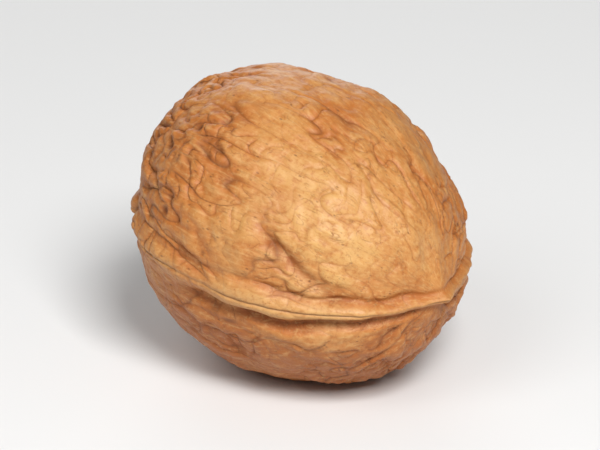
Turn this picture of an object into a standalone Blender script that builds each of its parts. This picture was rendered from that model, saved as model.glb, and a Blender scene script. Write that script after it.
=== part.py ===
"""A whole walnut in its shell, lying on one cheek.

The shell is one piece: two halves grown together along a seam, with the tip's short beak at +X and the
stem's scar at -X. The seam lies nearly level, so one cheek faces up and the other rests on a small flat spot.
The origin is on the surface that the nut lies on, at the middle of the nut's box.
"""

import math

import bmesh
import bpy
from mathutils import Matrix, Vector, noise

MM = 0.001

# Driving dimensions of the shell, without its band, beak and lumps
HALF_LENGTH = 19.3 * MM
HALF_WIDTH = 16.2 * MM
HALF_DEPTH = 16.5 * MM
GIRTH = 16.4 * MM  # mean radius round the long axis
SQUARENESS = 2.12  # 2 is an ellipsoid, and more is fuller at the shoulders
TAPER = 0.045  # how much slimmer the tip end is than the middle
UPPER_LEAN = 0.10  # how far the upper cheek leans towards the stem, as a share of the height
LOWER_LEAN = 0.04  # how far the lower cheek leans towards the tip

# How the nut lies
ROLL = math.radians(1)  # the seam's front edge dips
PITCH = math.radians(7)  # the tip dips
REST_DEPTH = 0.32 * MM  # how deep the flat spot cuts into the lower cheek
REST_CALM = 5.0 * MM  # the wrinkles fade out this near to the flat spot's middle

# Slow lumps of the whole shell, and the seam's wander: height, size, place in the noise
LUMPS = (
    (0.55 * MM, 10.0 * MM, Vector((3.1, 0.0, 7.7))),
    (0.24 * MM, 4.6 * MM, Vector((1.0, 9.0, 4.0))),
)
WANDER = (
    (0.45 * MM, 8.0 * MM, Vector((20.0, 3.0, 5.0))),
    (0.12 * MM, 2.6 * MM, Vector((7.0, 7.0, 1.0))),
)
SEAM_DROP = 1.3 * MM  # the seam runs below the middle, so the upper cheek is the larger one

# The raised band along the seam
BAND_HALF = 1.40 * MM
BAND_HEIGHT = 0.66 * MM
BAND_FLATNESS = 2.6  # 2 is a round crest, and more is flatter
BAND_EDGE = 0.2 * MM  # wrinkles start this far outside the band
BAND_WIDTH_AT_ENDS = 0.55  # shares of the full width and height
BAND_NARROWING = (0.38, 6 * MM, 18 * MM)  # how much narrower it is at the tip, and where that starts and ends
BAND_HEIGHT_AT_ENDS = 0.75
BAND_HEIGHT_AT_STEM = 0.55
BAND_WAVER = (0.3, 6.0 * MM)  # how much its width varies, and over what distance

# The gutter along each side of the band: a narrow one above it, and a broad one below
GUTTER_DEPTH = (0.85 * MM, 1.10 * MM)
GUTTER_WIDTH = (0.62 * MM, 1.05 * MM)
GUTTER_WIDTH_AT_TIP = 0.70  # share of the full width
GUTTER_GAP = 0.75 * MM  # from the band's edge to the gutter's middle
GUTTER_SWAY = (0.5 * MM, 4.0 * MM)  # how far it leaves that line, and over what distance
GUTTER_DEPTH_AT_STEM = 0.25  # shares of the full depth
GUTTER_DEPTH_WHERE_BROKEN = 0.25
GUTTER_DEPTH_AT_ENDS = 0.45
GUTTER_BREAK = 6.5 * MM  # length of the broken stretches
STEMWARD, TIPWARD = -12 * MM, 9 * MM  # the stem's part of the seam ends here, and the tip's part starts here

# In front, near the tip, a fold leaves the upper gutter and climbs the cheek till it fades out
FOLD_START, FOLD_END, FOLD_FADE = 16 * MM, 8 * MM, 5 * MM
FOLD_HEIGHT = 4.4 * MM  # how far it has climbed at its end
FOLD_BEND = 1.2  # 1 climbs evenly, and more gets steeper on its way
FOLD_DEPTH = 0.62 * MM
FOLD_WIDTH = 0.90 * MM
GUTTER_PAST_FOLD = 0.35  # share of the gutter's depth past the fold

# The ends
BEAK_HEIGHT = 1.7 * MM
BEAK_RADIUS = 2.1 * MM
BEAK_SHARPNESS = 1.3  # 2 is a round knob, and less is more pointed
SCAR_DEPTH = 0.5 * MM
SCAR_RADIUS = 4.5 * MM
NOTCH_DEPTH = 1.0 * MM
NOTCH_HALF_LENGTH = 2.0 * MM
NOTCH_HALF_WIDTH = 0.6 * MM

# Wrinkles: veins drawn out along the nut, veins across it, and a net of small cells. drawn_out is how much
# longer they are along the nut, and a furrow's width is a share of the spacing. calm is its depth on smooth
# shell, rough is what rough shell adds, and swell is how much higher the shell is on one side of a vein.
SEED = 7
VEINS = dict(spacing=3.3 * MM, drawn_out=2.8, meander=0.55, width=0.110)
VEINS.update(calm=0.12 * MM, rough=0.42 * MM, swell=0.45 * MM)
CROSS_VEINS = dict(spacing=3.6 * MM, drawn_out=1.0, meander=0.70, width=0.080)
CROSS_VEINS.update(calm=0.07 * MM, rough=0.28 * MM, swell=0.30 * MM)
NET = dict(spacing=2.2 * MM, drawn_out=1.6, meander=0.45, width=0.20)
NET.update(calm=0.08 * MM, rough=0.17 * MM, swell=0.0)
ROUNDING = 1.25  # 1 is a sharp furrow, and more is rounder
JOINING = 0.10  # a cross vein fades out this near to a long one
STEEPNESS = (0.35, 0.95)  # where a vein's field is flatter than this, as in small loops, it fades out
SLOPE_STEP = 0.05  # the field's steepness is measured over this share of the spacing
FADING = (0.35, 4.0 * MM)  # the least share of its depth that a furrow keeps, and over what distance it fades
KEPT_ON_BAND = 0.40  # share of the wrinkles' depth that the band keeps
TIP_CALM = (0.04, 0.22)  # the wrinkles end this near to the tip, where the middle of the nut counts as 1

# Smoother and rougher stretches: their size, how much rougher the ends are, and where the change comes
PATCH = 8.0 * MM
ROUGHER_ENDS = 0.75
CALM_BELOW, ROUGH_ABOVE = -0.28, 0.44
ZONES = (  # direction on the shell, spread in radians, change of roughness
    (Vector((0.75, -0.55, 0.35)).normalized(), 0.52, -0.85),
    (Vector((0.93, -0.30, 0.20)).normalized(), 0.35, -0.60),
    (Vector((-0.10, -0.87, 0.48)).normalized(), 0.34, 0.40),
    (Vector((-0.12, -0.98, 0.15)).normalized(), 0.30, 0.40),
    (Vector((0.20, -0.73, 0.65)).normalized(), 0.26, -0.90),
    (Vector((-0.19, -0.46, 0.87)).normalized(), 0.26, -0.35),
    (Vector((0.81, -0.09, 0.57)).normalized(), 0.42, -0.65),
    (Vector((0.17, -0.07, 0.98)).normalized(), 0.45, -0.25),
)

# The mesh
CELLS_PER_SIDE = 96
SEAM_ROWS = 0.28  # how much closer the rows of faces lie at the seam
TRIANGLES = 11400

SHELL_COLOUR = (0.56, 0.30, 0.115, 1.0)
SHELL_ROUGHNESS = 0.55


def ease(low, high, value):
    """0 below low, 1 above high, and a smooth step between them."""
    t = min(1.0, max(0.0, (value - low) / (high - low)))
    return t * t * (3 - 2 * t)


def rising(start, t):
    """The start share at t = 0, and 1 at t = 1."""
    return start + (1 - start) * t


def hump(distance, reach, power=2.0):
    """1 at no distance, fading to 0 past the reach."""
    return math.exp(-(abs(distance / reach) ** power))


def waves(place, layers):
    """The sum of noise layers at a place."""
    return sum(height * noise.noise(place / size + shift) for height, size, shift in layers)


def body_point(direction):
    """The smooth body's point in a direction from the nut's middle, and its normal there."""
    shares = zip(direction, (HALF_LENGTH, HALF_WIDTH, HALF_DEPTH))
    reach = sum(abs(part / half) ** SQUARENESS for part, half in shares) ** (-1 / SQUARENESS)
    point = direction * reach
    slim = 1 - TAPER * point.x / HALF_LENGTH
    point = Vector((point.x, point.y * slim, point.z * slim))
    normal = Vector((point.x / HALF_LENGTH**2, point.y / HALF_WIDTH**2, point.z / HALF_DEPTH**2)).normalized()
    return point, normal


def unrolled(point):
    """The point laid out along the meridians, and a number that is 0 at the two ends and 1 in the middle."""
    from_axis = math.hypot(point.y, point.z)
    along = math.atan2(from_axis / GIRTH, -point.x / HALF_LENGTH)
    round_axis = math.atan2(point.z, point.y)
    middle = math.sin(along)
    radius = GIRTH * rising(0.4, middle)
    return Vector((radius * math.cos(round_axis), radius * math.sin(round_axis), GIRTH * along)), middle


def roughness_at(point, middle):
    """How wrinkled the shell is at a point: 0 calm, 1 deeply wrinkled, as it is near the ends."""
    value = noise.noise(point / PATCH + Vector((11, 2, 3))) + ROUGHER_ENDS * (1 - middle)
    patch = ease(CALM_BELOW, ROUGH_ABOVE, value)
    for towards, spread, change in ZONES:
        patch += change * hump(point.angle(towards), spread)
    return min(1.0, max(0.0, patch))


def seam_relief(point, middle):
    """Height of the band over its gutters, how freely wrinkles cross it, and the distance from the seam."""
    across = point.z + SEAM_DROP * middle + waves(point, WANDER)
    below = across <= 0
    side = -1 if below else 1
    tipward = ease(STEMWARD, TIPWARD, point.x)
    narrowing, starts, ends = BAND_NARROWING
    narrower = 1 - narrowing * ease(starts, ends, point.x)

    amount, size = BAND_WAVER
    waver = 1 + amount * noise.noise(point / size + Vector((0, 5, 2 * side)))
    half = BAND_HALF * rising(BAND_WIDTH_AT_ENDS, middle) * waver * narrower
    height = BAND_HEIGHT * rising(BAND_HEIGHT_AT_ENDS, middle) * rising(BAND_HEIGHT_AT_STEM, tipward)
    off_band = max(1 - tipward, 1 - hump(across, half + BAND_EDGE, 4))

    sway, size = GUTTER_SWAY
    line = half + GUTTER_GAP * narrower + sway * noise.noise(point / size + Vector((4, 2 * side, 9)))
    wide = GUTTER_WIDTH[below] * rising(GUTTER_WIDTH_AT_TIP, 1 - tipward)
    whole = ease(-0.35, 0.35, noise.noise(point / GUTTER_BREAK + Vector((4 * side, 2, 9))))
    depth = GUTTER_DEPTH[below] * rising(GUTTER_DEPTH_AT_STEM, tipward) * rising(GUTTER_DEPTH_AT_ENDS, middle)
    depth *= rising(GUTTER_DEPTH_WHERE_BROKEN, max(tipward, whole))

    fold = 0
    if point.y < 0 and not below:
        climbed = max(0.0, (FOLD_START - point.x) / (FOLD_START - FOLD_END))
        drawn = ease(0.0, 0.3, climbed) * ease(FOLD_FADE, FOLD_END, point.x)
        fold = FOLD_DEPTH * drawn * hump(across - line - FOLD_HEIGHT * climbed**FOLD_BEND, FOLD_WIDTH)
        depth *= rising(GUTTER_PAST_FOLD, ease(1.0, 0.1, climbed))

    relief = height * hump(across, half, BAND_FLATNESS) - depth * hump(abs(across) - line, wide) - fold
    return relief, off_band, across


def vein_field(place, kind, shift):
    """0 along a meandering line, with opposite signs on its two sides, and how freely the vein is drawn."""
    bent = Vector((place.x, place.y, place.z / kind["drawn_out"])) / kind["spacing"] + shift
    bent += kind["meander"] * noise.noise_vector(bent * 1.3 + shift)
    away = noise.noise(bent)
    rises = [noise.noise(bent + SLOPE_STEP * axis) - away for axis in Matrix.Identity(3)]
    return away, ease(*STEEPNESS, Vector(rises).length / SLOPE_STEP)


def net_field(place, kind, shift):
    """0 where two cells of the net meet, and more inside them."""
    bent = Vector((place.x, place.y, place.z / kind["drawn_out"])) / kind["spacing"] + shift
    bent += kind["meander"] * noise.noise_vector(bent * 0.9)
    nearest = noise.voronoi(bent, distance_metric="DISTANCE")[0]
    return nearest[1] - nearest[0]


def wrinkle_depth(point, layout, patch):
    """Depth of all the wrinkles at a point of the body, whose place along the meridians is its layout.

    A cross vein ends where it meets a long one, which has other cross veins on its other side.
    """
    long, long_drawn = vein_field(layout, VEINS, Vector((5, 1, 2)))
    cross, cross_drawn = vein_field(point, CROSS_VEINS, Vector((17 if long > 0 else -1, 4, 2)))
    net = net_field(layout, NET, Vector((1, 8, 3)))
    least, size = FADING
    depth = 0
    kinds = ((VEINS, long, long_drawn), (CROSS_VEINS, cross, cross_drawn), (NET, net, 1))
    for turn, (kind, away, drawn) in enumerate(kinds):
        share = ease(0, JOINING, abs(long)) if kind is CROSS_VEINS else 1
        kept = rising(least, ease(-0.3, 0.3, noise.noise(point / size + Vector((3 * turn, 7, 4)))))
        furrow = (kind["calm"] + kind["rough"] * patch) * kept * drawn * hump(away, kind["width"], ROUNDING)
        depth += share * (furrow - kind["swell"] * away * rising(0.5, patch))
    return depth


def end_shift(point, across):
    """How far the beak, the stem's scar and the notch in it move a point along the nut."""
    from_axis = math.hypot(point.y, point.z)
    if point.x > 0:
        return BEAK_HEIGHT * hump(from_axis, BEAK_RADIUS, BEAK_SHARPNESS)
    notch = NOTCH_DEPTH * hump(point.y, NOTCH_HALF_LENGTH) * hump(across, NOTCH_HALF_WIDTH)
    return SCAR_DEPTH * hump(from_axis, SCAR_RADIUS) + notch


def shell_point(direction, tilt):
    """The shell's point in a direction from the nut's middle."""
    point, normal = body_point(direction)
    layout, middle = unrolled(point)
    seam, off_band, across = seam_relief(point, middle)
    underside = (tilt @ direction).angle(Vector((0, 0, -1))) * GIRTH
    kept = rising(KEPT_ON_BAND, off_band) * ease(0.4 * REST_CALM, REST_CALM, underside)
    if point.x > 0:
        kept *= ease(*TIP_CALM, middle)
    wrinkles = wrinkle_depth(point, layout, roughness_at(point, middle))
    shell = point + normal * (waves(point, LUMPS) + seam - wrinkles * kept)
    lean = UPPER_LEAN if point.z > 0 else LOWER_LEAN
    shell.x += end_shift(point, across) - lean * point.z
    return tilt @ shell


def ball_mesh():
    """A unit ball made from a cube's grid, with its rows closer together along the seam."""
    ball = bmesh.new()
    bmesh.ops.create_cube(ball, size=2.0)
    bmesh.ops.subdivide_edges(ball, edges=ball.edges[:], cuts=CELLS_PER_SIDE - 1, use_grid_fill=True)
    for vertex in ball.verts:
        x, y, z = vertex.co
        z *= 1 - SEAM_ROWS * (1 - abs(z))
        vertex.co = Vector([math.tan(part * math.pi / 4) for part in (x, y, z)]).normalized()
    return ball


def thinned(shell):
    """The same shell with fewer triangles, which stay small only where it is wrinkled."""
    draft = bpy.data.meshes.new("draft")
    shell.to_mesh(draft)
    holder = bpy.data.objects.new("draft", draft)
    bpy.context.scene.collection.objects.link(holder)
    fewer = holder.modifiers.new("fewer", "DECIMATE")
    fewer.ratio = TRIANGLES / (2 * len(draft.polygons))
    shell.clear()
    shell.from_object(holder, bpy.context.evaluated_depsgraph_get())
    bpy.data.objects.remove(holder)
    bpy.data.meshes.remove(draft)


def set_down(shell):
    """Cuts the small flat spot, and moves the nut to lie on z = 0 with its box centred on the origin."""
    low = min(vertex.co.z for vertex in shell.verts) + REST_DEPTH
    everything = shell.verts[:] + shell.edges[:] + shell.faces[:]
    cut = bmesh.ops.bisect_plane(
        shell, geom=everything, plane_co=(0, 0, low), plane_no=(0, 0, -1), clear_outer=True
    )
    rim = [part for part in cut["geom_cut"] if isinstance(part, bmesh.types.BMEdge)]
    bmesh.ops.edgenet_fill(shell, edges=rim)
    sides = [[vertex.co[axis] for vertex in shell.verts] for axis in (0, 1)]
    centre = [(min(side) + max(side)) / 2 for side in sides]
    bmesh.ops.translate(shell, verts=shell.verts[:], vec=(-centre[0], -centre[1], -low))
    bmesh.ops.recalc_face_normals(shell, faces=shell.faces[:])


def shell_material():
    """Dry woody shell: tan and a little satiny."""
    material = bpy.data.materials.new("shell")
    material.use_nodes = True
    finish = material.node_tree.nodes["Principled BSDF"]
    finish.inputs["Base Color"].default_value = SHELL_COLOUR
    finish.inputs["Roughness"].default_value = SHELL_ROUGHNESS
    return material


def build_walnut():
    """The whole nut as one object."""
    noise.seed_set(SEED)
    tilt = Matrix.Rotation(PITCH, 3, "Y") @ Matrix.Rotation(ROLL, 3, "X")
    shell = ball_mesh()
    for vertex in shell.verts:
        vertex.co = shell_point(vertex.co.copy(), tilt)
    thinned(shell)
    set_down(shell)
    mesh = bpy.data.meshes.new("walnut")
    shell.to_mesh(mesh)
    shell.free()
    mesh.shade_smooth()
    mesh.materials.append(shell_material())
    walnut = bpy.data.objects.new("walnut", mesh)
    bpy.context.scene.collection.objects.link(walnut)


for old in list(bpy.data.objects):
    bpy.data.objects.remove(old)
build_walnut()
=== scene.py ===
import math
import bmesh
import bpy
from mathutils import Matrix, Vector, noise


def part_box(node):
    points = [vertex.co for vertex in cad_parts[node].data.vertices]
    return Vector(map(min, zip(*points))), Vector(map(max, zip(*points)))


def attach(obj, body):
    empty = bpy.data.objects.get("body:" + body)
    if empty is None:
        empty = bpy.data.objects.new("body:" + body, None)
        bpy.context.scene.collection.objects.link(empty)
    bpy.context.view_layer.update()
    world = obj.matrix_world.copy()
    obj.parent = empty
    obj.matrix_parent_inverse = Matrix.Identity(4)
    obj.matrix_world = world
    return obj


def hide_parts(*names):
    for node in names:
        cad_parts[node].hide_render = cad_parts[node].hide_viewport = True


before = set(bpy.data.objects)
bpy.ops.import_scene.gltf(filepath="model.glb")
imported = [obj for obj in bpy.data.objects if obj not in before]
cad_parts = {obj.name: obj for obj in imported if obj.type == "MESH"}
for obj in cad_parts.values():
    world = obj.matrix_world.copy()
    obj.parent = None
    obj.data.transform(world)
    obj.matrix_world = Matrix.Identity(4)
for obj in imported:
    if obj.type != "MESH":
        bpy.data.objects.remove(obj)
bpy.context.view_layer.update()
print("frame loaded")


# Shader maths reads as plain expressions: a Shade is one output socket of a material's nodes
class Shade:
    def __init__(self, finish, socket):
        self.finish = finish
        self.socket = socket

    def output(self, name):
        return Shade(self.finish, self.socket.node.outputs[name])

    def maths(self, operation, *values):
        return self.finish.node("ShaderNodeMath", {"operation": operation}, dict(enumerate(values)))

    def __add__(self, other):
        return self.maths("ADD", self, other)

    def __radd__(self, other):
        return self.maths("ADD", other, self)

    def __sub__(self, other):
        return self.maths("SUBTRACT", self, other)

    def __rsub__(self, other):
        return self.maths("SUBTRACT", other, self)

    def __mul__(self, other):
        return self.maths("MULTIPLY", self, other)

    def __rmul__(self, other):
        return self.maths("MULTIPLY", other, self)

    def __truediv__(self, other):
        return self.maths("DIVIDE", self, other)

    def __pow__(self, other):
        return self.maths("POWER", self, other)

    def __abs__(self):
        return self.maths("ABSOLUTE", self)

    # 1 where this is 0, fading out past the reach on both sides
    def line(self, reach, power=2.0):
        return self.maths("EXPONENT", -1 * (abs(self) / reach) ** power)

    # 0 at start and 1 at end, with a smooth step between; start may be above end
    def fade(self, start, end):
        limits = {"Value": self, "From Min": start, "From Max": end}
        return self.finish.node("ShaderNodeMapRange", {"interpolation_type": "SMOOTHSTEP"}, limits)


# A material whose nodes all come from one method
class Finish:
    def __init__(self, name):
        self.material = bpy.data.materials.new(name)
        self.material.use_nodes = True
        self.nodes = self.material.node_tree.nodes
        self.links = self.material.node_tree.links
        self.surface = self.nodes["Principled BSDF"]

    def join(self, value, socket):
        if isinstance(value, Shade):
            self.links.new(value.socket, socket)
        else:
            socket.default_value = value

    def node(self, kind, settings=None, sockets=None, output=0):
        new = self.nodes.new(kind)
        for name, value in (settings or {}).items():
            if name == "stops":
                spots = new.color_ramp.elements
                while len(spots) < len(value):
                    spots.new(0.5)
                for spot, (place, colour) in zip(spots, value):
                    spot.position, spot.color = place, (*colour, 1)
            else:
                setattr(new, name, value)
        for name, value in (sockets or {}).items():
            self.join(value, new.inputs[name])
        return Shade(self, new.outputs[output])

    def set(self, **sockets):
        for name, value in sockets.items():
            self.join(value, self.surface.inputs[name.replace("_", " ")])

    # a Mix node's colours are its inputs 6 and 7 and its output 2, counted from 0
    def blend(self, amount, under, tint):
        return self.node("ShaderNodeMix", {"data_type": "RGBA"}, {0: amount, 6: under, 7: (*tint, 1)}, 2)

    def cloud(self, place, size, detail, roughness, distortion=0.0):
        shape = dict(Detail=detail, Roughness=roughness, Distortion=distortion)
        return self.node("ShaderNodeTexNoise", None, dict(Vector=place, Scale=1 / size, **shape))

    def cells(self, place, size):
        return self.node("ShaderNodeTexVoronoi", None, dict(Vector=place, Scale=1 / size))

    # the place with its third part shrunk, which draws a pattern out along the nut
    def drawnOut(self, place, share):
        return self.node("ShaderNodeVectorMath", {"operation": "MULTIPLY"}, {0: place, 1: (1.0, 1.0, share)})

    # the three parts of a vector that the mesh keeps at each vertex
    def parts(self, attribute):
        vector = self.node("ShaderNodeAttribute", {"attribute_name": attribute}, output="Vector")
        split = self.node("ShaderNodeSeparateXYZ", None, {0: vector})
        return [split.output(axis) for axis in "XYZ"]


# The nut. Sizes are in millimetres, and roll and pitch in degrees. The frame's own shape uses the same values
# for its body, seam, ends and wrinkles, but its wrinkles fade a little nearer to the tip
walnut = dict(
    # body
    halfLength=19.3,
    halfWidth=16.2,
    halfDepth=16.5,
    girth=16.4,
    endGirth=0.4,  # at the ends the wrinkles are laid out round this share of the girth
    squareness=2.12,
    taper=0.045,
    upperLean=0.10,
    lowerLean=0.04,
    roll=1,
    pitch=7,
    restDepth=0.32,
    restCalm=(2.0, 5.0),  # round the flat spot the relief starts and is whole this far from its middle
    lumps=((0.55, 10.0, (3.1, 0.0, 7.7)), (0.24, 4.6, (1.0, 9.0, 4.0))),
    # seam
    wander=((0.45, 8.0, (20.0, 3.0, 5.0)), (0.12, 2.6, (7.0, 7.0, 1.0))),
    seamDrop=1.3,
    bandHalf=1.40,
    bandHeight=0.66,
    bandFlatness=2.6,
    bandEdge=0.2,
    bandWidthAtEnds=0.55,
    bandNarrowing=(0.38, 6, 18),  # how much at the tip, and where it starts and ends
    bandHeightAtEnds=0.75,
    bandHeightAtStem=0.55,
    bandWaver=(0.3, 6.0),
    gutterDepth=(0.85, 1.10),
    gutterWidth=(0.62, 1.05),  # above and below the band
    gutterWidthAtTip=0.70,
    gutterGap=0.75,
    gutterSway=(0.5, 4.0),
    gutterDepthAtStem=0.25,
    gutterDepthWhereBroken=0.25,
    gutterDepthAtEnds=0.45,
    gutterBreak=6.5,
    gutterWhole=0.35,  # broken where its noise is this far below 0, and whole this far above
    tipward=(-12, 9),  # the stem's part of the seam ends and the tip's part starts here
    # in front the upper gutter leaves the band near the tip and climbs the cheek as a fold
    fold=dict(height=4.4, bend=1.2, starts=16, ends=8, fades=5, depth=0.62, width=0.90),
    gutterPastFold=0.35,
    # ends
    beakHeight=1.7,
    beakRadius=2.1,
    beakSharpness=1.3,
    scarDepth=0.5,
    scarRadius=4.5,
    notchDepth=1.0,
    notchHalfLength=2.0,
    notchHalfWidth=0.6,
    # wrinkles
    seed=7,
    veins=dict(spacing=3.3, drawnOut=2.8, meander=0.55, width=0.110,
               calm=0.12, rough=0.42, core=0.12, swell=0.45),
    crossVeins=dict(spacing=3.6, drawnOut=1.0, meander=0.70, width=0.080,
                    calm=0.07, rough=0.28, core=0.08, swell=0.30),
    net=dict(spacing=2.2, drawnOut=1.6, meander=0.45, width=0.20,
             calm=0.08, rough=0.17, core=0.0, swell=0.0),
    rounding=1.25,
    joining=0.10,  # cross veins end this near to a long one
    steepness=(0.35, 0.95),  # small loops, where the field is flat, fade out
    slopeStep=0.05,
    fading=(4.0, 0.35),  # over what distance a furrow fades, and the least share of its depth that it keeps
    fadingRange=0.3,
    keptOnBand=0.40,
    tipCalm=(0.05, 0.30),  # where they start and are whole, from 0 at the tip to 1 in the nut's middle
    patch=8.0,
    rougherEnds=0.75,
    calmBelow=-0.28,
    roughAbove=0.44,
    zones=(  # direction, spread in radians, change of roughness
        ((0.75, -0.55, 0.35), 0.52, -0.85),
        ((0.93, -0.30, 0.20), 0.35, -0.60),
        ((-0.10, -0.87, 0.48), 0.34, 0.40),
        ((-0.12, -0.98, 0.15), 0.30, 0.40),
        ((0.20, -0.73, 0.65), 0.26, -0.90),
        ((-0.19, -0.46, 0.87), 0.26, -0.35),
        ((0.81, -0.09, 0.57), 0.42, -0.65),
        ((0.17, -0.07, 0.98), 0.45, -0.25),
    ),
    # fine relief, which the frame's shape leaves out
    coreWidth=0.035,
    coreOnCalm=0.35,
    swellOnCalm=0.5,
    vessels=dict(spacing=1.5, drawnOut=2.0, meander=0.5, width=0.07, depth=0.06,
                 patch=3.0, shown=(-0.1, 0.35)),
    grain=((0.11, 1.7, (0.0, 0.0, 0.0)), (0.05, 0.8, (3.0, 1.0, 6.0)), (0.02, 0.4, (5.0, 2.0, 1.0))),
    pits=dict(spacing=2.6, squash=0.7, reach=(0.28, 0.06), onPatch=(0.1, 0.6),
              stemward=(0, -14), awayFromStem=0.4, depth=0.38),
    hairline=dict(depth=0.16, half=0.15),
    # how much darker the colour is made at the bottom of a gutter and of a pit: in a gutter painted shade, in
    # a pit partly dark remnants and partly painted shade
    gutterPaintedShade=0.55,
    pitRemnantAndShade=0.3,
    # the cheek painted paler as painted light, the one that faces the camera: its direction and spread in
    # radians
    paintedLightSide=(0.66, -0.62, 0.42),
    paintedLightSpread=0.56,
    # mesh
    cellsPerSide=128,
    seamRows=0.28,
)


# 0 at low and 1 at high, with a smooth step between; low may be above high
def ease(low, high, value):
    t = min(1.0, max(0.0, (value - low) / (high - low)))
    return t * t * (3 - 2 * t)


# the start share at t = 0, and 1 at t = 1
def rising(start, t):
    return start + (1 - start) * t


# 1 at no distance, fading to 0 past the reach
def hump(distance, reach, power=2.0):
    return math.exp(-(abs(distance / reach) ** power))


def waves(place, layers):
    return sum(height * noise.noise(place / size + Vector(shift)) for height, size, shift in layers)


# the smooth body's point in a direction from its middle, and the way out from it
def bodyPoint(direction, w):
    halves = (w["halfLength"], w["halfWidth"], w["halfDepth"])
    squareness = w["squareness"]
    reach = sum(abs(part / half) ** squareness for part, half in zip(direction, halves)) ** (-1 / squareness)
    point = direction * reach
    slim = 1 - w["taper"] * point.x / w["halfLength"]
    point = Vector((point.x, point.y * slim, point.z * slim))
    outward = Vector([part / half**2 for part, half in zip(point, halves)]).normalized()
    return point, outward


# the point laid out along the meridians, and how far from the two ends it is: 0 there, 1 in the middle
def unrolled(point, w):
    along = math.atan2(math.hypot(point.y, point.z) / w["girth"], -point.x / w["halfLength"])
    roundAxis = math.atan2(point.z, point.y)
    middle = math.sin(along)
    radius = w["girth"] * rising(w["endGirth"], middle)
    return Vector((radius * math.cos(roundAxis), radius * math.sin(roundAxis), w["girth"] * along)), middle


# 0 on calm shell, 1 where it is deeply wrinkled
def roughnessAt(point, middle, w):
    value = noise.noise(point / w["patch"] + Vector((11, 2, 3))) + w["rougherEnds"] * (1 - middle)
    patch = ease(w["calmBelow"], w["roughAbove"], value)
    for towards, spread, change in w["zones"]:
        patch += change * hump(point.angle(Vector(towards)), spread)
    return min(1.0, max(0.0, patch))


# the band's height, its gutters' depth, how freely wrinkles cross it, the distance from the seam, and
# a number that is 1 on the band
def seamRelief(point, middle, w):
    across = point.z + w["seamDrop"] * middle + waves(point, w["wander"])
    side = 1 if across > 0 else -1
    tipward = ease(*w["tipward"], point.x)
    narrowing, starts, ends = w["bandNarrowing"]
    narrower = 1 - narrowing * ease(starts, ends, point.x)
    amount, size = w["bandWaver"]
    waver = 1 + amount * noise.noise(point / size + Vector((0, 5, 2 * side)))
    half = w["bandHalf"] * rising(w["bandWidthAtEnds"], middle) * waver * narrower
    height = w["bandHeight"] * rising(w["bandHeightAtEnds"], middle) * rising(w["bandHeightAtStem"], tipward)
    offBand = max(1 - tipward, 1 - hump(across, half + w["bandEdge"], 4))
    amount, size = w["gutterSway"]
    line = half + w["gutterGap"] * narrower + amount * noise.noise(point / size + Vector((4, 2 * side, 9)))
    below = side < 0
    wide = w["gutterWidth"][below] * rising(w["gutterWidthAtTip"], 1 - tipward)
    whole = noise.noise(point / w["gutterBreak"] + Vector((4 * side, 2, 9)))
    whole = ease(-w["gutterWhole"], w["gutterWhole"], whole)
    depth = w["gutterDepth"][below] * rising(w["gutterDepthAtStem"], tipward)
    depth *= rising(w["gutterDepthAtEnds"], middle)
    depth *= rising(w["gutterDepthWhereBroken"], max(tipward, whole))

    fold = w["fold"]
    folded = 0
    if point.y < 0 and not below:
        climbed = max(0.0, (fold["starts"] - point.x) / (fold["starts"] - fold["ends"]))
        drawn = ease(0.0, 0.3, climbed) * ease(fold["fades"], fold["ends"], point.x)
        away = across - line - fold["height"] * climbed ** fold["bend"]
        folded = fold["depth"] * drawn * hump(away, fold["width"])
        depth *= rising(w["gutterPastFold"], ease(1.0, 0.1, climbed))

    band = height * hump(across, half, w["bandFlatness"])
    gutter = depth * hump(abs(across) - line, wide) + folded
    return band, gutter, offBand, across, hump(across, half, 4)


# a place counted in the kind's spacings, drawn out along the nut and bent by a noise of the given fineness
def bentPlace(place, kind, shift, fineness, noiseShift):
    bent = Vector((place.x, place.y, place.z / kind["drawnOut"])) / kind["spacing"] + shift
    return bent + kind["meander"] * noise.noise_vector(bent * fineness + noiseShift)


# 0 along a meandering line, with opposite signs on its two sides, and its steepness there
def veinField(place, kind, shift, step):
    bent = bentPlace(place, kind, shift, fineness=1.3, noiseShift=shift)
    away = noise.noise(bent)
    rises = [noise.noise(bent + step * axis) - away for axis in Matrix.Identity(3)]
    return away, Vector(rises).length / step


# 0 where two cells of the net meet, and more inside them
def netField(place, kind, shift):
    bent = bentPlace(place, kind, shift, fineness=0.9, noiseShift=Vector())
    nearest = noise.voronoi(bent, distance_metric="DISTANCE")[0]
    return nearest[1] - nearest[0]


# how far the beak, the stem's scar and the notch in it move a point along the nut
def endShift(point, across, w):
    fromAxis = math.hypot(point.y, point.z)
    if point.x > 0:
        return w["beakHeight"] * hump(fromAxis, w["beakRadius"], w["beakSharpness"])
    notch = w["notchDepth"] * hump(point.y, w["notchHalfLength"]) * hump(across, w["notchHalfWidth"])
    return w["scarDepth"] * hump(fromAxis, w["scarRadius"]) + notch


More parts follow.
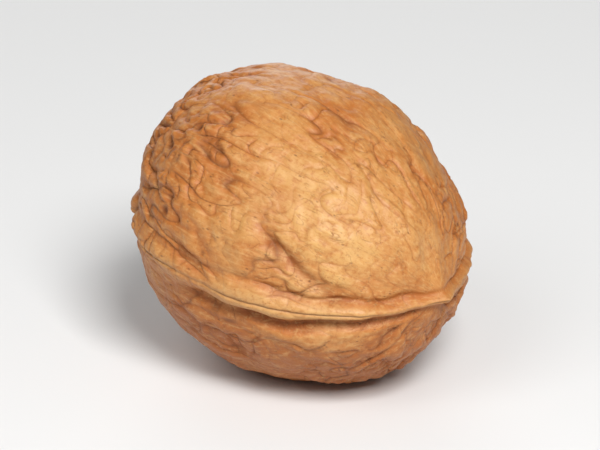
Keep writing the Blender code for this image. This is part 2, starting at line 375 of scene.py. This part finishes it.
# the depth of all wrinkles, of their thin cores and of the steps beside them, and where the veins run
def wrinklesAt(point, layout, patch, w):
    long, longSteep = veinField(layout, w["veins"], Vector((5, 1, 2)), w["slopeStep"])
    crossShift = Vector((17 if long > 0 else -1, 4, 2))  # a long vein has other cross veins on its other side
    cross, crossSteep = veinField(point, w["crossVeins"], crossShift, w["slopeStep"])
    longDrawn, crossDrawn = ease(*w["steepness"], longSteep), ease(*w["steepness"], crossSteep)
    net = netField(layout, w["net"], Vector((1, 8, 3)))
    apart = ease(0.0, w["joining"], abs(long))
    kinds = (
        ("veins", long, 1.0, longDrawn),
        ("crossVeins", cross, apart, crossDrawn),
        ("net", net, 1.0, 1.0),
    )
    size, least = w["fading"]
    wrinkles = core = swell = 0
    for turn, (name, away, share, drawn) in enumerate(kinds):
        kind = w[name]
        fading = noise.noise(point / size + Vector((3 * turn, 7, 4)))
        fading = share * drawn * rising(least, ease(-w["fadingRange"], w["fadingRange"], fading))
        strength = (kind["calm"] + kind["rough"] * patch) * fading
        wrinkles += strength * hump(away, kind["width"], w["rounding"])
        core += kind["core"] * rising(w["coreOnCalm"], patch) * fading * hump(away, w["coreWidth"], 1.2)
        swell += kind["swell"] * away * rising(w["swellOnCalm"], patch) * share
    return wrinkles, core, swell, (long, cross), (longDrawn, crossDrawn)


def vesselsAt(point, layout, w):
    kind = w["vessels"]
    away = veinField(layout, kind, Vector((6, 2, 8)), w["slopeStep"])[0]
    shown = noise.noise(point / kind["patch"] + Vector((2, 2, 9)))
    return kind["depth"] * hump(away, kind["width"], 1.2) * ease(*kind["shown"], shown)


def pitAt(point, layout, patch, w):
    kind = w["pits"]
    place = Vector((layout.x, layout.y, layout.z * kind["squash"])) / kind["spacing"] + Vector((2, 2, 2))
    near = noise.voronoi(place, distance_metric="DISTANCE")[0][0]
    stem = ease(*kind["stemward"], point.x)
    return ease(*kind["reach"], near) * ease(*kind["onPatch"], patch * rising(kind["awayFromStem"], stem))


# the shell's point in a direction from the nut's middle, and what the finish needs to know there
def shellPoint(direction, tilt, w):
    point, outward = bodyPoint(direction, w)
    layout, middle = unrolled(point, w)
    patch = roughnessAt(point, middle, w)
    band, gutter, offBand, across, crest = seamRelief(point, middle, w)
    underside = (tilt @ direction).angle(Vector((0, 0, -1))) * w["girth"]
    calm = ease(*w["restCalm"], underside)
    tipFade = ease(*w["tipCalm"], middle) if point.x > 0 else 1
    kept = rising(w["keptOnBand"], offBand) * calm * tipFade

    wrinkles, core, swell, lines, drawn = wrinklesAt(point, layout, patch, w)
    pit = pitAt(point, layout, patch, w) * offBand * calm
    hairline = w["hairline"]["depth"] * crest * hump(across, w["hairline"]["half"])
    relief = waves(point, w["lumps"]) + band - gutter - (wrinkles + core - swell) * kept - hairline
    relief -= vesselsAt(point, layout, w) * calm * tipFade
    relief += waves(point, w["grain"]) * calm - w["pits"]["depth"] * pit
    shell = point + outward * relief
    lean = w["upperLean"] if point.z > 0 else w["lowerLean"]
    shell.x += endShift(point, across, w) - lean * point.z

    # how deep in a hollow the point lies, which the finish paints darker: in the furrows partly the shell's
    # own browner colour and partly painted shade, in the gutters painted shade, in the pits partly dark
    # remnants and partly painted shade
    hollow = wrinkles * kept + w["gutterPaintedShade"] * gutter + w["pitRemnantAndShade"] * pit
    # painted light: a paler patch on the side that faces the camera
    paintedLight = hump(point.angle(Vector(w["paintedLightSide"])), w["paintedLightSpread"])
    return tilt @ shell, dict(
        layout=layout,
        lines=Vector((*lines, across)),
        state=Vector((hollow, patch, layout.z / (math.pi * w["girth"]))),
        spots=Vector((pit, crest, kept)),
        drawn=Vector((*drawn, paintedLight)),
    )


# a unit ball made from a cube's grid, with its rows closer together along the seam
def makeBall(w):
    ball = bmesh.new()
    bmesh.ops.create_cube(ball, size=2.0)
    bmesh.ops.subdivide_edges(ball, edges=ball.edges[:], cuts=w["cellsPerSide"] - 1, use_grid_fill=True)
    for vertex in ball.verts:
        x, y, z = vertex.co
        z *= 1 - w["seamRows"] * (1 - abs(z))
        vertex.co = Vector([math.tan(part * math.pi / 4) for part in (x, y, z)]).normalized()
    return ball


def makeShell(w):
    noise.seed_set(w["seed"])
    pitch, roll = math.radians(w["pitch"]), math.radians(w["roll"])
    tilt = Matrix.Rotation(pitch, 3, "Y") @ Matrix.Rotation(roll, 3, "X")
    shell = makeBall(w)
    names = ("layout", "lines", "state", "spots", "drawn")
    fields = {name: shell.verts.layers.float_vector.new(name) for name in names}
    for vertex in shell.verts:
        vertex.co, facts = shellPoint(vertex.co.copy(), tilt, w)
        for name, layer in fields.items():
            vertex[layer] = facts[name]
    for face in shell.faces:
        face.smooth = True

    # set down on its flat spot, in the middle of the frame's box, in metres
    mm = 0.001
    low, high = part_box("walnut")
    sides = [[vertex.co[axis] for vertex in shell.verts] for axis in (0, 1)]
    middle = [(min(side) + max(side)) / 2 for side in sides]
    floor = min(vertex.co.z for vertex in shell.verts) + w["restDepth"]
    for vertex in shell.verts:
        x, y, z = vertex.co
        vertex.co = Vector(((x - middle[0]) * mm + (low.x + high.x) / 2,
                            (y - middle[1]) * mm + (low.y + high.y) / 2,
                            max(0.0, z - floor) * mm))
    mesh = bpy.data.meshes.new("walnutShell")
    shell.to_mesh(mesh)
    shell.free()
    piece = bpy.data.objects.new("walnutShell", mesh)
    bpy.context.scene.collection.objects.link(piece)
    return piece


# The nut's finish: colours are linear, sizes in millimetres
shellLook = dict(
    # from the crests of the shell down into its hollows, darker there as partly the shell's own browner
    # furrows and partly painted shade: where each tint is reached, and the tint
    depths=(
        (0.0, (0.575, 0.298, 0.090)),
        (0.20, (0.46, 0.168, 0.036)),
        (0.50, (0.265, 0.070, 0.011)),
        (0.95, (0.105, 0.026, 0.006)),
    ),
    # tints laid over that
    middle=(0.46, 0.168, 0.036),
    hollow=(0.265, 0.070, 0.011),
    deep=(0.105, 0.026, 0.006),
    paleBlotch=(0.65, 0.395, 0.160),
    darkBlotch=(0.37, 0.108, 0.017),
    # painted shade: darker and oranger on the lower half, below the seam
    paintedShadeBelow=(0.335, 0.090, 0.014),
    # painted light on the side facing the camera, and painted shade, darker and oranger, round it
    paintedLight=(0.69, 0.445, 0.160),
    paintedShadeAround=(0.43, 0.124, 0.020),
    vein=(0.16, 0.050, 0.013),
    pore=(0.10, 0.030, 0.009),
    stem=(0.21, 0.075, 0.023),
    # pattern sizes
    broadSize=7.0,
    mottleSize=2.2,
    fleckSize=0.55,
    gritSize=0.24,
    fibreSize=0.42,
    poreSpacing=0.62,
    porePatch=1.4,
    vesselSpacing=1.3,
    # how high the fine bumps are, and how deep the fine lines
    heights=dict(mottle=0.075, fleck=0.048, fibre=0.034, grit=0.018),
    depthsOfLines=dict(longLine=0.07, crossLine=0.05, pore=0.035, vessel=0.025, hairline=0.07),
    roughness=0.47,
    specular=0.42,
)


def makeShellFinish(look):
    finish = Finish("walnutShell")
    metres = finish.node("ShaderNodeTexCoord", output="Object")
    place = finish.node("ShaderNodeVectorMath", {"operation": "SCALE"}, {0: metres, "Scale": 1000.0})
    layout = finish.node("ShaderNodeAttribute", {"attribute_name": "layout"}, output="Vector")
    long, cross, across = finish.parts("lines")
    hollow, patch, along = finish.parts("state")
    pit, crest, kept = finish.parts("spots")
    # the third part of drawn is the painted light on the side facing the camera
    longDrawn, crossDrawn, paintedLight = finish.parts("drawn")

    # patterns
    broad = finish.cloud(place, look["broadSize"], 3.0, 0.55)
    mottle = finish.cloud(place, look["mottleSize"], 5.0, 0.62, 0.4)
    fleck = finish.cloud(place, look["fleckSize"], 4.0, 0.65)
    grit = finish.cloud(place, look["gritSize"], 3.0, 0.6)
    fibre = finish.cloud(finish.drawnOut(layout, 0.16), look["fibreSize"], 4.0, 0.6, 0.3)
    pores = finish.cells(finish.drawnOut(layout, 0.55), look["poreSpacing"])
    poreSize = finish.cloud(place, look["porePatch"], 2.0, 0.5)
    vessel = finish.cloud(finish.drawnOut(layout, 0.35), look["vesselSpacing"], 2.0, 0.5, 0.8)

    # lines and marks
    longLine = long.line(0.030, 1.3) * longDrawn * kept * (0.30 + 0.70 * patch)
    crossLine = cross.line(0.024, 1.3) * crossDrawn * kept * (0.25 + 0.75 * patch)
    crossLine = crossLine * abs(long).fade(0.03, 0.10)
    poreMark = pores.fade(0.22, 0.07) * poreSize.fade(0.46, 0.62)
    vesselMark = (vessel - 0.5).line(0.012, 1.5) * poreSize.fade(0.40, 0.62) * kept
    hairline = (across + 0.12 * (mottle - 0.5)).line(0.09) * crest * broad.fade(0.36, 0.56)

    # colour, from the crests down into the hollows, darker there as partly the shell's own browner furrows
    # and partly painted shade, and then each tint where its mask lies: the wide ones first
    depth = hollow * (1 + 0.30 * patch) + (mottle - 0.5) * 0.22 + 0.02
    colour = finish.node("ShaderNodeValToRGB", {"stops": look["depths"]}, {0: depth})
    tints = (
        ("paleBlotch", broad.fade(0.50, 0.72) * 0.45),
        ("darkBlotch", broad.fade(0.50, 0.30) * 0.50),
        ("middle", patch * 0.50),
        # paler on the crests of rough patches: partly worn shell, partly painted light on the raised parts
        ("paleBlotch", patch * hollow.fade(0.10, 0.0) * mottle.fade(0.46, 0.60) * 0.45),
        # painted light on the side facing the camera, then painted shade, darker and oranger, everywhere
        # round it
        ("paintedLight", paintedLight * (1 - 2 * hollow) * 0.28),
        ("paintedShadeAround", (1 - paintedLight) * 0.36),
        # painted shade: darker and oranger on the lower half, below the seam
        ("paintedShadeBelow", across.fade(-1.5, -6.5) * 0.76),
        # paler along the seam's band: partly its own lighter tone, partly a painted highlight
        ("paleBlotch", crest * 0.20),
        ("darkBlotch", fleck.fade(0.52, 0.66) * 0.42),
        ("paleBlotch", fleck.fade(0.46, 0.34) * 0.26),
        ("paleBlotch", fibre.fade(0.50, 0.70) * 0.34),
        ("darkBlotch", fibre.fade(0.47, 0.30) * 0.40),
        ("hollow", grit.fade(0.58, 0.72) * fleck.fade(0.44, 0.60) * 0.45),
        ("vein", vesselMark * 0.35),
        ("vein", longLine * 0.75),
        ("vein", crossLine * 0.60),
        # pits darker still: partly dark remnants in them, partly painted shade
        ("deep", pit * 0.70),
        ("pore", poreMark * 0.50),
        ("vein", hairline * 0.65),
        ("stem", along.fade(0.10, 0.0) * (0.4 + 0.6 * mottle) * 0.8),
    )
    for name, amount in tints:
        colour = finish.blend(amount, colour, look[name])

    roughness = look["roughness"] + 0.30 * hollow + 0.20 * (mottle - 0.5) + 0.16 * (fibre - 0.5)

    # fine height in millimetres
    up, down = look["heights"], look["depthsOfLines"]
    height = up["mottle"] * mottle + up["fleck"] * fleck + up["fibre"] * fibre + up["grit"] * grit
    height = height - down["longLine"] * longLine - down["crossLine"] * crossLine - down["pore"] * poreMark
    height = height - down["vessel"] * vesselMark - down["hairline"] * hairline
    bump = finish.node("ShaderNodeBump", None, {"Strength": 1.0, "Distance": 0.001, "Height": height})
    finish.set(Base_Color=colour, Roughness=roughness, Normal=bump, Specular_IOR_Level=look["specular"])
    return finish.material


piece = makeShell(walnut)
piece.data.materials.append(makeShellFinish(shellLook))
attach(piece, "root")
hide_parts("walnut")
print("walnut made")


# Floor, light and camera; sizes in metres
studio = dict(
    floorSize=4.0,
    floorColour=(0.76, 0.76, 0.755),
    worldLight=0.17,
    key=dict(azimuth=60, elevation=46, distance=0.7, size=0.26, power=5.6),
    fill=dict(azimuth=0, elevation=45, distance=0.7, size=0.40, power=1.3),
    back=dict(azimuth=228, elevation=18, distance=0.8, size=0.45, power=1.7),
    aim=(-0.001, -0.0009, 0.0165),
    camera=dict(azimuth=42, elevation=22.5, distance=0.6, lens=329),
)


def makeFloor(s):
    floor = bmesh.new()
    bmesh.ops.create_grid(floor, x_segments=1, y_segments=1, size=s["floorSize"] / 2)
    mesh = bpy.data.meshes.new("floor")
    floor.to_mesh(mesh)
    floor.free()
    finish = Finish("floor")
    finish.set(Base_Color=(*s["floorColour"], 1), Roughness=0.9)
    mesh.materials.append(finish.material)
    piece = bpy.data.objects.new("floor", mesh)
    bpy.context.scene.collection.objects.link(piece)


# looks at the aim from an azimuth, counted from the front towards +X, and an elevation
def aimed(name, data, spot, aim):
    across, up = math.radians(spot["azimuth"]), math.radians(spot["elevation"])
    back = Vector((math.sin(across) * math.cos(up), -math.cos(across) * math.cos(up), math.sin(up)))
    thing = bpy.data.objects.new(name, data)
    thing.location = Vector(aim) + back * spot["distance"]
    thing.rotation_euler = (-back).to_track_quat("-Z", "Y").to_euler()
    bpy.context.scene.collection.objects.link(thing)
    return thing


def makeLamp(name, s):
    data = bpy.data.lights.new(name, "AREA")
    data.size = s[name]["size"]
    data.energy = s[name]["power"]
    aimed(name, data, s[name], s["aim"])


def makeCamera(s):
    data = bpy.data.cameras.new("camera")
    data.lens = s["camera"]["lens"]
    bpy.context.scene.camera = aimed("camera", data, s["camera"], s["aim"])


def makeWorld(s):
    world = bpy.data.worlds.new("studio")
    bpy.context.scene.world = world
    world.use_nodes = True
    light = world.node_tree.nodes["Background"].inputs
    light["Color"].default_value = (1, 1, 1, 1)
    light["Strength"].default_value = s["worldLight"]


makeFloor(studio)
for lamp in ("key", "fill", "back"):
    makeLamp(lamp, studio)
makeCamera(studio)
makeWorld(studio)
bpy.context.scene.view_settings.view_transform = "Standard"
print("studio made")
